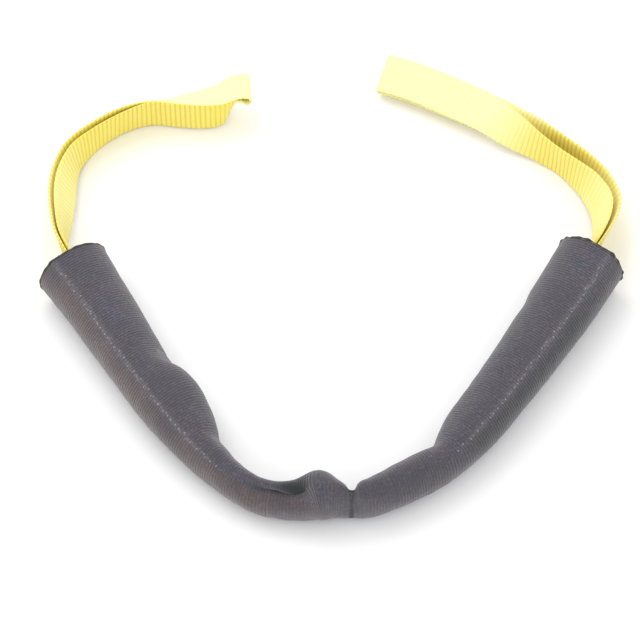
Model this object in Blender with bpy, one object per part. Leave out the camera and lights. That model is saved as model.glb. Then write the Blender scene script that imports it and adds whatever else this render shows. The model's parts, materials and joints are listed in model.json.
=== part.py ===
"""Soft tow rope handle: one webbing strap with an eye at each end, in a ribbed tubular sleeve.

The handle lies on the ground plane z = 0. The strap stands on its edge inside the sleeve and
turns flat at the tips of the eyes. Six bodies are joined by five upright hinges: the fold in
the middle, a kink in each half, and the mouth of the sleeve at each eye.
"""

import math

import bmesh
import bpy
from mathutils import Vector

# ---- Driving dimensions, metres -------------------------------------------------------------
MOUTH_SPAN = 0.3213        # between the centres of the sleeve's two mouths
BEND_DEPTH = 0.172         # from the middle of the bend to the mouths
EYE_REACH = 0.150          # how far an eye stands out beyond its mouth
EYE_SPREAD = 0.118         # how far an eye's tip comes in from its mouth
WEBBING_WIDTH = 0.025
WEBBING_THICKNESS = 0.0020
SLEEVE_WALL = 0.0015
GAP = 0.0003               # between pieces that touch
STRAP_PLAY = 0.0015        # between the ends of two strap lengths at a hinge

# The sleeve where its girth changes: its half width, and its height above the webbing's edge
MOUTH_SECTION = (0.0230, 0.0070)
FLOAT_SECTION = (0.0185, 0.0060)
SHOULDER_SECTION = (0.0190, 0.0053)
KINK_SECTION = (0.0115, 0.0035)
WAIST_SECTION = (0.0085, 0.0035)
HUMP_SECTION = (0.0125, 0.0055)
NOTCH_SECTION = (0.0058, 0.0033)

FLOAT_INSET = 0.012        # foam float's end behind the mouth
FLOAT_LENGTH = 0.105
FLOAT_ROOM = (0.00275, 0.0020)    # beside the box stitches and above the webbing's edge
TAIL_LENGTH = 0.090        # folded-back end of the strap, inside the sleeve
STITCH_INSET = 0.030       # box stitch's end behind the mouth
STITCH_LENGTH = 0.034
STITCH_MARGIN = 0.0030     # from the webbing's selvedge
THREAD = 0.0008
RIM_LENGTH = 0.0016
RIM_LIP = 0.0004           # how far the fused rim stands proud of the sleeve
SEAM_ANGLE = math.radians(57)
SEAM_WIDTH = 0.0016
SEAM_HEIGHT = 0.0006
TACK_LENGTH = 0.0030
TACK_SPREAD = math.radians(70)
TACK_ROOM = 0.0007         # from the sleeve's middle surface, which bends in beside the fold

FOLD_SWING = math.radians(30)
KINK_SWING = math.radians(20)

RING = 20                  # sides of a tube's section
STEP = 0.0095              # along an arm
BEND_STEP = 0.0050         # along the bend, which curves more
LEG_STEP = 0.0065          # along an eye
BIGHT_SIDES = 8

# ---- Shape of the sleeve's route -------------------------------------------------------------
# x as a share of half MOUTH_SPAN, y as a share of BEND_DEPTH, and the section there.
ROUTE = [
    (-1.000, 0.985, MOUTH_SECTION),
    (-0.871, 0.784, (0.0203, 0.0065)),
    (-0.720, 0.546, FLOAT_SECTION),
    (-0.583, 0.364, SHOULDER_SECTION),
    (-0.446, 0.168, KINK_SECTION),
    (-0.300, 0.040, WAIST_SECTION),
    (-0.159, 0.006, (0.0085, 0.0040)),
    (-0.045, 0.020, HUMP_SECTION),
    (0.020, 0.016, (0.0095, 0.0043)),
    (0.072, 0.004, NOTCH_SECTION),
    (0.135, 0.022, (0.0100, 0.0038)),
    (0.250, 0.074, (0.0120, 0.0040)),
    (0.413, 0.172, (0.0120, 0.0037)),
    (0.529, 0.315, (0.0165, 0.0047)),
    (0.710, 0.561, FLOAT_SECTION),
    (0.896, 0.849, (0.0212, 0.0065)),
    (1.000, 1.020, (0.0220, 0.0067)),
]
LEFT_KINK = 4              # stations of the route where it hinges
FOLD = 9
RIGHT_KINK = 12

# ---- Shape of the eyes -----------------------------------------------------------------------
# The line of an eye's upper edges from the mouth to the tip: x as a share of EYE_SPREAD and y
# as a share of EYE_REACH from the mouth's centre (+x towards the tip), the inner and the outer
# leg's lean from flat in degrees (90 on edge, under 90 leaning out), the gap between their upper
# edges, and the lift above the ground.
LEFT_EYE = [
    (0.000, 0.000, 88, 88, GAP, 0.0060),
    (-0.086, 0.148, 80, 80, 0.0006, 0.0050),
    (-0.118, 0.270, 69, 69, 0.0015, 0.0032),
    (-0.130, 0.375, 63, 64, 0.0022, 0.0020),
    (-0.122, 0.467, 64, 66, 0.0026, 0.0015),
    (-0.094, 0.548, 71, 73, 0.0028, 0.0010),
    (-0.040, 0.632, 80, 82, 0.0028, 0.0004),
    (0.069, 0.717, 90, 93, 0.0026, 0.0000),
    (0.222, 0.795, 96, 104, 0.0022, 0.0004),
    (0.377, 0.841, 93, 122, 0.0011, 0.0000),
    (0.513, 0.831, 92, 140, 0.0006, 0.0000),
    (0.649, 0.819, 93, 153, 0.0005, 0.0000),
    (0.770, 0.823, 98, 160, 0.0006, 0.0005),
    (0.836, 0.832, 122, 166, 0.0012, 0.0055),
    (0.900, 0.836, 168, 168, 0.0036, 0.0180),
]
RIGHT_EYE = [
    (0.000, 0.000, 88, 88, GAP, 0.0060),
    (-0.080, 0.108, 74, 74, 0.0008, 0.0045),
    (-0.135, 0.215, 64, 64, 0.0025, 0.0030),
    (-0.147, 0.314, 62, 62, 0.0050, 0.0015),
    (-0.084, 0.422, 70, 70, 0.0070, 0.0005),
    (0.012, 0.507, 82, 82, 0.0080, 0.0000),
    (0.116, 0.583, 88, 88, 0.0080, 0.0000),
    (0.220, 0.660, 80, 78, 0.0080, 0.0000),
    (0.327, 0.750, 58, 54, 0.0085, 0.0000),
    (0.473, 0.869, 36, 34, 0.0085, 0.0000),
    (0.715, 0.986, 29, 28, 0.0080, 0.0000),
    (0.877, 1.054, 27, 26, 0.0074, 0.0000),
    (1.005, 1.096, 26, 26, 0.0068, 0.0000),
]

COLOURS = {
    "webbing": ((0.86, 0.76, 0.16), 0.62),
    "sleeve": ((0.13, 0.115, 0.13), 0.82),
    "rim": ((0.035, 0.030, 0.030), 0.55),
    "foam": ((0.30, 0.31, 0.33), 0.90),
    "thread": ((0.80, 0.72, 0.30), 0.60),
    "dark_thread": ((0.06, 0.055, 0.06), 0.60),
    "seam": ((0.24, 0.225, 0.24), 0.75),
}


# ---- Curves ------------------------------------------------------------------------------------
class Smooth:
    """A smooth curve through rows of numbers, read by length along its first two."""

    def __init__(self, rows, fine=24):
        self.rows = []
        padded = [mirrored(rows[1], rows[0])] + rows + [mirrored(rows[-2], rows[-1])]
        for i in range(1, len(padded) - 2):
            for j in range(fine):
                self.rows.append(spline_point(padded[i - 1 : i + 3], j / fine))
        self.rows.append(rows[-1])
        self.lengths = [0.0]
        for a, b in zip(self.rows, self.rows[1:]):
            self.lengths.append(self.lengths[-1] + math.hypot(b[0] - a[0], b[1] - a[1]))
        self.fine = fine

    @property
    def length(self):
        return self.lengths[-1]

    def station(self, index):
        """Length along the curve at one of the rows it was made from."""
        return self.lengths[index * self.fine]

    def at(self, s):
        s = min(max(s, 0.0), self.length)
        i = 0
        while i < len(self.lengths) - 2 and self.lengths[i + 1] < s:
            i += 1
        share = (s - self.lengths[i]) / (self.lengths[i + 1] - self.lengths[i])
        return [a + (b - a) * share for a, b in zip(self.rows[i], self.rows[i + 1])]

    def tangent(self, s, reach=0.002):
        a = self.at(s - reach)
        b = self.at(s + reach)
        return Vector((b[0] - a[0], b[1] - a[1], 0.0)).normalized()


def mirrored(row, centre):
    return [2 * c - r for r, c in zip(row, centre)]


def spline_point(four, t):
    """Catmull-Rom between the middle two of four rows."""
    point = []
    for a, b, c, d in zip(*four):
        rise = 2 * b + (c - a) * t + (2 * a - 5 * b + 4 * c - d) * t**2
        point.append(0.5 * (rise + (3 * b - a - 3 * c + d) * t**3))
    return point


def route():
    rows = []
    for x, y, (half_width, above_webbing) in ROUTE:
        half_height = WEBBING_WIDTH / 2 + above_webbing
        rows.append([x * MOUTH_SPAN / 2, y * BEND_DEPTH, half_width, half_height])
    return Smooth(rows)


def steps(start, end, step):
    count = max(2, round(abs(end - start) / step))
    return [start + (end - start) * i / count for i in range(count + 1)]


# ---- Building solids -----------------------------------------------------------------------------
def material(slot):
    """The finish of one slot, made once."""
    found = bpy.data.materials.get(slot)
    if found:
        return found
    colour, roughness = COLOURS[slot]
    made = bpy.data.materials.new(slot)
    made.use_nodes = True
    shader = made.node_tree.nodes["Principled BSDF"]
    shader.inputs["Base Color"].default_value = (*colour, 1.0)
    shader.inputs["Roughness"].default_value = roughness
    shader.inputs["Metallic"].default_value = 0.0
    return made


def add_piece(name, mesh_work, slot, frame, smooth=False):
    """Makes a node from a bmesh in world space, placed under its body's frame."""
    bmesh.ops.recalc_face_normals(mesh_work, faces=mesh_work.faces)
    bmesh.ops.translate(mesh_work, verts=mesh_work.verts, vec=-frame["pivot"])
    mesh = bpy.data.meshes.new(name)
    mesh_work.to_mesh(mesh)
    mesh_work.free()
    if smooth:
        mesh.shade_smooth()
        mesh.set_sharp_from_angle(angle=math.radians(50))
    piece = bpy.data.objects.new(name, mesh)
    piece.data.materials.append(material(slot))
    bpy.context.scene.collection.objects.link(piece)
    piece.parent = frame["empty"]
    return piece


def loft(rings, closed_ends=True):
    """A bmesh skin through rings of points; the ends are capped or joined to each other."""
    work = bmesh.new()
    rows = [[work.verts.new(p) for p in ring] for ring in rings]
    pairs = list(zip(rows, rows[1:]))
    if not closed_ends:
        pairs.append((rows[-1], rows[0]))
    for a, b in pairs:
        for j in range(len(a)):
            k = (j + 1) % len(a)
            work.faces.new((a[j], a[k], b[k], b[j]))
    if closed_ends:
        work.faces.new(rows[0])
        work.faces.new(rows[-1])
    return work


def oval(path, s, half_width, half_height, shift=0.0):
    """Section of a tube at s, a flat facet down; shift moves it along the route."""
    x, y, _, tube_height = path.at(s)
    forward = path.tangent(s)
    side = Vector((forward.y, -forward.x, 0.0))
    middle = Vector((x, y, tube_height * math.cos(math.pi / RING))) + forward * shift
    ring = []
    for j in range(RING):
        turn = 2 * math.pi * (j + 0.5) / RING - math.pi / 2
        across = side * half_width * math.cos(turn)
        ring.append(middle + across + Vector((0.0, 0.0, half_height * math.sin(turn))))
    return ring


def tube(path, start, end, outer, inner, step=STEP):
    """An open-ended tube along the route; outer and inner give half width and height at s."""
    along = steps(start, end, step)
    rings = [oval(path, s, *outer(s)) for s in along]
    rings += [oval(path, s, *inner(s)) for s in reversed(along)]
    return loft(rings, closed_ends=False)


def sleeve_section(path, grow=0.0):
    def section(s):
        _, _, half_width, half_height = path.at(s)
        return half_width + grow, half_height + grow

    return section


def strap_point(path, s, side_shift, height):
    """A point beside the route's middle: side_shift to its right, height from its middle."""
    x, y, _, tube_height = path.at(s)
    forward = path.tangent(s)
    side = Vector((forward.y, -forward.x, 0.0))
    middle = Vector((x, y, tube_height * math.cos(math.pi / RING)))
    return middle + side * side_shift + Vector((0.0, 0.0, height))


def strap(path, start, end, side_shift, half_height, thickness):
    """Webbing on its edge along the route."""
    rings = []
    for s in steps(start, end, STEP):
        ring = []
        for across, up in ((-1, -1), (1, -1), (1, 1), (-1, 1)):
            shift = side_shift + across * thickness / 2
            ring.append(strap_point(path, s, shift, up * half_height))
        rings.append(ring)
    return loft(rings)


# ---- The eyes ----------------------------------------------------------------------------------
class Eye:
    """Two legs of webbing that hang from one line of upper edges and meet in a bight."""

    def __init__(self, rows, mouth, inward):
        made = []
        for x, y, inner_lean, outer_lean, gap, lift in rows:
            spot = [mouth.x + x * EYE_SPREAD * inward, mouth.y + y * EYE_REACH]
            made.append(spot + [math.radians(inner_lean), math.radians(outer_lean), gap, lift])
        self.curve = Smooth(made)
        self.inward = inward

    def level(self, s):
        """Unit vector that points level and away from the inside of the handle."""
        forward = self.curve.tangent(s)
        return Vector((-forward.y, forward.x, 0.0)) * self.inward

    def across(self, s, lean):
        """Unit vector across the webbing, from its lower edge to its upper one."""
        return self.level(s) * math.cos(lean) + Vector((0.0, 0.0, math.sin(lean)))

    def upper_line(self, s):
        """The point midway between the legs' upper edges."""
        x, y, inner_lean, outer_lean, gap, lift = self.curve.at(s)
        mean = (inner_lean + outer_lean) / 2
        height = WEBBING_WIDTH * math.sin(inner_lean) + lift
        height += (WEBBING_THICKNESS + gap / 2) * abs(math.cos(mean))
        through = self.curve.tangent(s).cross(self.across(s, mean))
        return Vector((x, y, height)), through, gap

    def leg(self, inner, start, end):
        """The inner or the outer leg. The inner one lies along +through on the left eye."""
        sign = self.inward if inner else -self.inward
        rings = []
        for s in steps(start, end, LEG_STEP):
            middle, through, gap = self.upper_line(s)
            lean = self.curve.at(s)[2 if inner else 3]
            across = self.across(s, lean)
            thick = self.curve.tangent(s).cross(across) * sign * WEBBING_THICKNESS
            upper = middle + through * sign * gap / 2
            lower = upper - across * WEBBING_WIDTH
            rings.append([lower, upper, upper + thick, lower + thick])
        return loft(rings)

    def bight(self, start):
        """The turn at the tip, a half ring from one leg to the other."""
        middle, through, gap = self.upper_line(start)
        forward = self.curve.tangent(start)
        across = self.across(start, self.curve.at(start)[2])
        middle = middle + forward * GAP
        rings = []
        for i in range(BIGHT_SIDES):
            turn = math.pi * i / (BIGHT_SIDES - 1) - math.pi / 2
            out = forward * math.cos(turn) + through * math.sin(turn)
            near = middle + out * gap / 2
            far = middle + out * (gap / 2 + WEBBING_THICKNESS)
            wide = across * WEBBING_WIDTH
            rings.append([near - wide, near, far, far - wide])
        return loft(rings)


# ---- Small pieces --------------------------------------------------------------------------------
def box_stitch(path, start, end, side_shift, half_height):
    """A sewn box with a cross in it, standing off one face of the webbing."""
    outline = [(start, -1), (end, -1), (end, 1), (start, 1)]
    middle = (start + end) / 2
    band = THREAD / half_height
    run = THREAD * 1.6
    work = bmesh.new()

    def loop(points):
        verts = []
        for s, up in points:
            verts.append(work.verts.new(strap_point(path, s, side_shift, up * half_height)))
        for a, b in zip(verts, verts[1:] + verts[:1]):
            work.edges.new((a, b))

    loop(outline)
    low, high = -1 + band, 1 - band
    left, right = start + THREAD, end - THREAD
    loop([(left + run, low), (right - run, low), (middle, -band)])
    loop([(left + run, high), (right - run, high), (middle, band)])
    loop([(left, low + 2 * band), (left, high - 2 * band), (middle - run, 0.0)])
    loop([(right, low + 2 * band), (right, high - 2 * band), (middle + run, 0.0)])
    bmesh.ops.triangle_fill(work, use_beauty=True, edges=work.edges[:])
    made = bmesh.ops.extrude_face_region(work, geom=work.faces[:])
    moved = [v for v in made["geom"] if isinstance(v, bmesh.types.BMVert)]
    forward = path.tangent(middle)
    side = Vector((forward.y, -forward.x, 0.0))
    bmesh.ops.translate(work, verts=moved, vec=side * math.copysign(THREAD, side_shift))
    return work


def surface_strip(path, start, end, turn, width, height):
    """A low ridge along the sleeve's outside, at an angle round its section."""
    rings = []
    for s in steps(start, end, STEP):
        x, y, half_width, half_height = path.at(s)
        forward = path.tangent(s)
        side = Vector((forward.y, -forward.x, 0.0))
        low = Vector((x, y, half_height * math.cos(math.pi / RING)))
        out = side * half_height * math.cos(turn)
        out += Vector((0.0, 0.0, half_width * math.sin(turn)))
        out.normalize()
        spot = low + side * half_width * math.cos(turn)
        spot += Vector((0.0, 0.0, half_height * math.sin(turn))) + out * GAP
        edge = forward.cross(out) * width / 2
        rings.append([spot - edge, spot + edge, spot + edge + out * height, spot - edge + out * height])
    return loft(rings)


def tack(path, start, end, turn):
    """A pad of bar tacking that lies on one flank of the sleeve, round the angle turn."""
    arc = [turn + TACK_SPREAD * (i / 4 - 0.5) for i in range(5)]
    rings = []
    for s in steps(start, end, TACK_LENGTH / 2):
        x, y, half_width, half_height = path.at(s)
        forward = path.tangent(s)
        side = Vector((forward.y, -forward.x, 0.0))
        middle = Vector((x, y, half_height * math.cos(math.pi / RING)))
        ring = []
        for out, angles in ((TACK_ROOM, arc), (TACK_ROOM + THREAD, reversed(arc))):
            for angle in angles:
                level = side * (half_width + out) * math.cos(angle)
                ring.append(middle + level + Vector((0.0, 0.0, (half_height + out) * math.sin(angle))))
        rings.append(ring)
    return loft(rings)


# ---- Bodies ------------------------------------------------------------------------------------
def add_frame(name, pivot, parent=None):
    """An empty on a body's hinge axis; the body's pieces hang under it."""
    empty = bpy.data.objects.new(name + "_frame", None)
    empty.empty_display_size = 0.02
    bpy.context.scene.collection.objects.link(empty)
    empty.location = pivot
    if parent:
        empty.parent = parent["empty"]
        empty.location = pivot - parent["pivot"]
    return {"empty": empty, "pivot": pivot}


def hinge_room(section, swing):
    """Half the gap that two square ends need to turn by swing without touching."""
    return section[0] * math.tan(swing / 2) + GAP


def float_bore():
    """Half width and half height of the slot in a float, which the sewn strap passes through."""
    sewn = WEBBING_THICKNESS + 1.5 * GAP + THREAD
    return sewn + FLOAT_ROOM[0], WEBBING_WIDTH / 2 + FLOAT_ROOM[1]


def build_arm(side, path, frame, mouth, kink, inner_side):
    """The full, round part of the sleeve, from its mouth to the kink."""
    sense = 1 if kink > mouth else -1
    room = hinge_room(KINK_SECTION, KINK_SWING)
    end = kink - sense * room
    wall = sleeve_section(path, -SLEEVE_WALL)
    add_piece(f"sleeve_arm_{side}", tube(path, mouth, end, sleeve_section(path), wall), "sleeve", frame, True)

    rings = []
    for shift, grow in ((GAP, RIM_LIP), (GAP + RIM_LENGTH, RIM_LIP)):
        width, height = sleeve_section(path, grow)(mouth)
        rings.append(oval(path, mouth, width, height - RIM_LIP, -sense * shift))
    for shift in (GAP + RIM_LENGTH, GAP):
        width, height = wall(mouth)
        rings.append(oval(path, mouth, width, height, -sense * shift))
    add_piece(f"sleeve_rim_{side}", loft(rings, closed_ends=False), "rim", frame, True)

    start = mouth + sense * FLOAT_INSET
    outer = sleeve_section(path, -SLEEVE_WALL - GAP)
    foam = tube(path, start, start + sense * FLOAT_LENGTH, outer, lambda s: float_bore())
    add_piece(f"foam_float_{side}", foam, "foam", frame, True)

    offset = (WEBBING_THICKNESS + GAP) / 2
    half = WEBBING_WIDTH / 2
    begin = mouth + sense * STRAP_PLAY
    strap_end = kink - sense * STRAP_PLAY / 2
    main = strap(path, begin, strap_end, -inner_side * offset, half, WEBBING_THICKNESS)
    add_piece(f"strap_arm_{side}", main, "webbing", frame)
    tail = strap(path, begin, mouth + sense * TAIL_LENGTH, inner_side * offset, half, WEBBING_THICKNESS)
    add_piece(f"strap_tail_{side}", tail, "webbing", frame)

    face = offset + WEBBING_THICKNESS / 2 + GAP
    first = mouth + sense * STITCH_INSET
    for label, sign in (("inner", inner_side), ("outer", -inner_side)):
        ends = sorted((first, first + sense * STITCH_LENGTH))
        sewn = box_stitch(path, *ends, sign * face, half - STITCH_MARGIN)
        add_piece(f"box_stitch_{label}_{side}", sewn, "thread", frame)

    turn = SEAM_ANGLE if inner_side < 0 else math.pi - SEAM_ANGLE
    ridge = surface_strip(path, mouth, end, turn, SEAM_WIDTH, SEAM_HEIGHT)
    add_piece(f"sleeve_seam_{side}", ridge, "seam", frame)


def build_bend(side, path, frame, kink, fold):
    """The slack part of the sleeve, from the kink to the fold in the middle."""
    sense = 1 if fold > kink else -1
    start = kink + sense * hinge_room(KINK_SECTION, KINK_SWING)
    end = fold - sense * hinge_room(NOTCH_SECTION, FOLD_SWING)
    wall = sleeve_section(path, -SLEEVE_WALL)
    cover = tube(path, start, end, sleeve_section(path), wall, BEND_STEP)
    add_piece(f"sleeve_bend_{side}", cover, "sleeve", frame, True)
    ends = (kink + sense * STRAP_PLAY / 2, fold - sense * STRAP_PLAY / 2)
    core = strap(path, *ends, 0.0, WEBBING_WIDTH / 2, WEBBING_THICKNESS)
    add_piece(f"strap_bend_{side}", core, "webbing", frame)


def build_tacks(path, frame, fold):
    """Bar tacks through sleeve and strap beside the fold, which keep the sleeve in its place."""
    end = fold - hinge_room(NOTCH_SECTION, FOLD_SWING) - TACK_LENGTH / 2
    for label, turn in (("front", 0.0), ("back", math.pi)):
        sewn = tack(path, end - TACK_LENGTH, end, turn)
        add_piece(f"centre_tack_{label}", sewn, "dark_thread", frame)


def build_eye(side, eye, frame):
    """Two legs and the bight that joins them."""
    start = STRAP_PLAY
    end = eye.curve.length
    for label, inner in (("inner", True), ("outer", False)):
        add_piece(f"eye_leg_{label}_{side}", eye.leg(inner, start, end), "webbing", frame)
    add_piece(f"eye_bight_{side}", eye.bight(end), "webbing", frame)


def clear_scene():
    for item in list(bpy.data.objects):
        bpy.data.objects.remove(item, do_unlink=True)


def centre_on_ground(root):
    """Moves the whole handle so that the origin is under the middle of its box."""
    bpy.context.view_layer.update()
    low = Vector((math.inf, math.inf, math.inf))
    high = -low
    for item in bpy.data.objects:
        if item.type != "MESH":
            continue
        for vert in item.data.vertices:
            spot = item.matrix_world @ vert.co
            low = Vector(map(min, low, spot))
            high = Vector(map(max, high, spot))
    root["empty"].location -= Vector(((low.x + high.x) / 2, (low.y + high.y) / 2, low.z))


def main():
    clear_scene()
    path = route()
    left_kink = path.station(LEFT_KINK)
    fold = path.station(FOLD)
    right_kink = path.station(RIGHT_KINK)

    left_bend = add_frame("left_bend", strap_point(path, fold, 0.0, 0.0))
    right_bend = add_frame("right_bend", strap_point(path, fold, 0.0, 0.0), left_bend)
    left_arm = add_frame("left_arm", strap_point(path, left_kink, 0.0, 0.0), left_bend)
    right_arm = add_frame("right_arm", strap_point(path, right_kink, 0.0, 0.0), right_bend)
    left_mouth = strap_point(path, 0.0, 0.0, 0.0)
    right_mouth = strap_point(path, path.length, 0.0, 0.0)
    left_eye = add_frame("left_eye", left_mouth, left_arm)
    right_eye = add_frame("right_eye", right_mouth, right_arm)

    build_bend("left", path, left_bend, left_kink, fold)
    build_tacks(path, left_bend, fold)
    build_bend("right", path, right_bend, right_kink, fold)
    build_arm("left", path, left_arm, 0.0, left_kink, -1)
    build_arm("right", path, right_arm, path.length, right_kink, -1)
    build_eye("left", Eye(LEFT_EYE, left_mouth, 1), left_eye)
    build_eye("right", Eye(RIGHT_EYE, right_mouth, -1), right_eye)
    centre_on_ground(left_bend)


main()
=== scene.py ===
"""Soft tow rope handle: ribbed webbing, tubular sleeve, floats and thread over its fixed frame.

Everything is in metres in the frame's own axes. The handle lies on the ground plane z = 0 with
its two eyes towards +Y. Along the sleeve, "outer" is the outside of the U and "inner" its inside.
"""

import json
import math

import bmesh
import bpy
import numpy as np
from bpy.props import FloatProperty, FloatVectorProperty, PointerProperty
from mathutils import Matrix, Vector


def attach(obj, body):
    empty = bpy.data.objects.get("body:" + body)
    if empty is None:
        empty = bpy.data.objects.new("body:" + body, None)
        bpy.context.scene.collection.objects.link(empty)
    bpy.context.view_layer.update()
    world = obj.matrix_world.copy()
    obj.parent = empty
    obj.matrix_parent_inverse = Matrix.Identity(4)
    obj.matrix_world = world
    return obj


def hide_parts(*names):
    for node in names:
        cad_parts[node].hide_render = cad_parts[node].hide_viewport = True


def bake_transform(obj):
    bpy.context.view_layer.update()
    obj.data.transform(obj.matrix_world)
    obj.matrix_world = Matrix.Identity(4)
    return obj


bl_info = {
    "name": "Tow Rope Handle",
    "version": (1, 0, 0),
    "blender": (4, 5, 0),
    "location": "View3D > Sidebar > Handle",
    "description": "Builds a soft tow rope handle and the studio it lies in",
    "category": "Add Mesh",
}

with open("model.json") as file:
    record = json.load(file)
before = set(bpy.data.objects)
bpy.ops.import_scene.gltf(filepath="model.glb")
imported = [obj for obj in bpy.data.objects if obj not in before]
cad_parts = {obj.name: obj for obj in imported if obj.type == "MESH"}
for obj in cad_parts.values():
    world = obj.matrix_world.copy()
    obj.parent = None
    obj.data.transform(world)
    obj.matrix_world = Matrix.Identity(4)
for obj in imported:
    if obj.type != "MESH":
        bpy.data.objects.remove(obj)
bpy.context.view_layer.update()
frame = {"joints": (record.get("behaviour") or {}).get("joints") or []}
JOINTS = {joint["name"]: joint for joint in frame["joints"]}
LEFT_MOUTH = Vector(JOINTS["left_eye_swing"]["pos_m"])
RIGHT_MOUTH = Vector(JOINTS["right_eye_swing"]["pos_m"])
FOLD_POINT = Vector(JOINTS["centre_fold"]["pos_m"])

# ---- The sleeve's route ----
# x as a share of half the span between the mouths, y as a share of the bend's depth, half width,
# height above the webbing's edge, and how full the section is (2 is an oval, less is a lens).
ROUTE = [
    (-1.000, 0.985, 0.0230, 0.0070, 2.10),
    (-0.871, 0.784, 0.0203, 0.0065, 2.10),
    (-0.720, 0.546, 0.0185, 0.0060, 2.05),
    (-0.583, 0.364, 0.0190, 0.0053, 2.00),
    (-0.446, 0.168, 0.0115, 0.0035, 1.90),
    (-0.300, 0.040, 0.0088, 0.0035, 1.85),
    (-0.159, 0.006, 0.0090, 0.0040, 1.85),
    (-0.045, 0.020, 0.0125, 0.0055, 1.95),
    (0.020, 0.016, 0.0095, 0.0043, 1.90),
    (0.072, 0.004, 0.0062, 0.0033, 1.85),
    (0.135, 0.022, 0.0100, 0.0038, 1.90),
    (0.250, 0.074, 0.0120, 0.0040, 1.95),
    (0.413, 0.172, 0.0120, 0.0037, 1.95),
    (0.529, 0.315, 0.0165, 0.0047, 2.00),
    (0.710, 0.561, 0.0185, 0.0060, 2.05),
    (0.896, 0.849, 0.0212, 0.0065, 2.10),
    (1.000, 1.020, 0.0220, 0.0067, 2.10),
]
LEFT_KINK = 4
FOLD = 9
RIGHT_KINK = 12
SPAN = RIGHT_MOUTH.x - LEFT_MOUTH.x
DEPTH = (LEFT_MOUTH.y - FOLD_POINT.y) / (ROUTE[0][1] - ROUTE[FOLD][1])
MIDDLE_X = (LEFT_MOUTH.x + RIGHT_MOUTH.x) / 2
LOWEST_Y = FOLD_POINT.y - ROUTE[FOLD][1] * DEPTH

# Dents and swellings of the slack fabric: place along the route as a station number, angle round
# the section in degrees (0 outer, 90 top, 180 inner), reach along, reach round in degrees, how far
# it goes in, and how far it is pushed along the route towards the right-hand arm.
FOLDS = [
    (1.95, 128, 0.0080, 24, 0.0022, 0.0),       # long hollow above the first kink, left arm
    (2.20, 165, 0.0050, 30, 0.0026, 0.0),       # first kink, inner side
    (2.75, 150, 0.0110, 34, -0.0016, 0.0),      # swelling between the two kinks
    (3.75, 150, 0.0050, 34, 0.0022, 0.0),       # second kink, inner side
    (4.60, 70, 0.0170, 22, 0.0010, 0.0),
    (5.55, 62, 0.0130, 20, 0.0030, 0.0),        # trough that leads to the pocket
    (6.08, 74, 0.0080, 23, 0.0095, 0.0010),     # the pocket's mouth
    (6.45, 88, 0.0045, 24, 0.0080, -0.0030),    # the pocket's far end, under the hump
    (6.25, 138, 0.0090, 24, -0.0016, 0.0),      # the pocket's back wall, standing up
    (6.95, 82, 0.0055, 40, -0.0024, -0.0032),   # the hump, leaning over the pocket
    (7.35, 70, 0.0075, 34, -0.0018, 0.0),
    (8.10, 120, 0.0045, 40, 0.0016, 0.0),
    (9.00, 72, 0.0017, 44, 0.0034, 0.0),        # pinch at the fold
    (8.95, 150, 0.0026, 46, 0.0022, 0.0),
    (9.55, 75, 0.0040, 40, -0.0014, 0.0),       # round shoulder beyond the pinch
    (10.9, 128, 0.0150, 26, 0.0012, 0.0),
    (12.0, 150, 0.0050, 36, 0.0018, 0.0),       # kink, right half
    (13.1, 118, 0.0160, 24, 0.0012, 0.0),
    (14.6, 172, 0.0060, 30, 0.0012, 0.0),
]
# Painted shade: where the cloth is painted darker because little light gets in, in the pocket, at
# the pinch and on the right arm's outer flank: station, angle, reach, spread and strength.
HOLLOWS = [
    (6.22, 92, 0.0115, 40, 0.92),
    (5.50, 66, 0.0120, 16, 0.35),
    (9.00, 76, 0.0013, 38, 0.55),
    (9.02, 130, 0.0028, 34, 0.50),
    (14.0, 14, 0.0850, 33, 0.60),               # the right arm's outer flank
    (7.45, 128, 0.0050, 30, 0.30),
]
# The crease's pale colour is a painted highlight along its ridge.
CREASE_TURN = math.radians(57)     # the pale line along each arm, up from level on the outer side
CREASE_REACH = math.radians(6)
CREASE_LINE = math.radians(3.2)    # reach of its colour
CREASE_RISE = 0.0006
CREASE_FADE = 0.006
RIM_WANDER = 0.0006                # of a roughly cut rim, along the sleeve
ARM_END = 3.9                      # stations that an arm's crease runs to
MIDDLE_LEFT = 6                    # stations where the three stretches of the sleeve meet
MIDDLE_RIGHT = 10.6

# ---- The eyes ----
# The line of an eye's upper edges, from its mouth: x as a share of the spread, y as a share of the
# reach, the inner and the outer leg's lean from flat in degrees, gap between the legs, and lift.
EYE_REACH = 0.150
EYE_SPREAD = 0.118
LEFT_EYE = [
    (0.000, 0.000, 88, 88, 0.0003, 0.0060),
    (-0.086, 0.148, 80, 80, 0.0006, 0.0050),
    (-0.118, 0.270, 69, 69, 0.0015, 0.0032),
    (-0.130, 0.375, 63, 64, 0.0022, 0.0020),
    (-0.122, 0.467, 64, 66, 0.0026, 0.0015),
    (-0.094, 0.548, 71, 73, 0.0028, 0.0010),
    (-0.040, 0.632, 80, 82, 0.0028, 0.0004),
    (0.069, 0.717, 90, 93, 0.0026, 0.0000),
    (0.222, 0.795, 96, 104, 0.0022, 0.0004),
    (0.377, 0.841, 93, 122, 0.0011, 0.0000),
    (0.513, 0.831, 92, 140, 0.0006, 0.0000),
    (0.649, 0.819, 93, 153, 0.0005, 0.0000),
    (0.770, 0.823, 98, 160, 0.0006, 0.0005),
    (0.836, 0.832, 122, 166, 0.0012, 0.0055),
    (0.900, 0.836, 168, 168, 0.0036, 0.0180),
]
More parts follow.
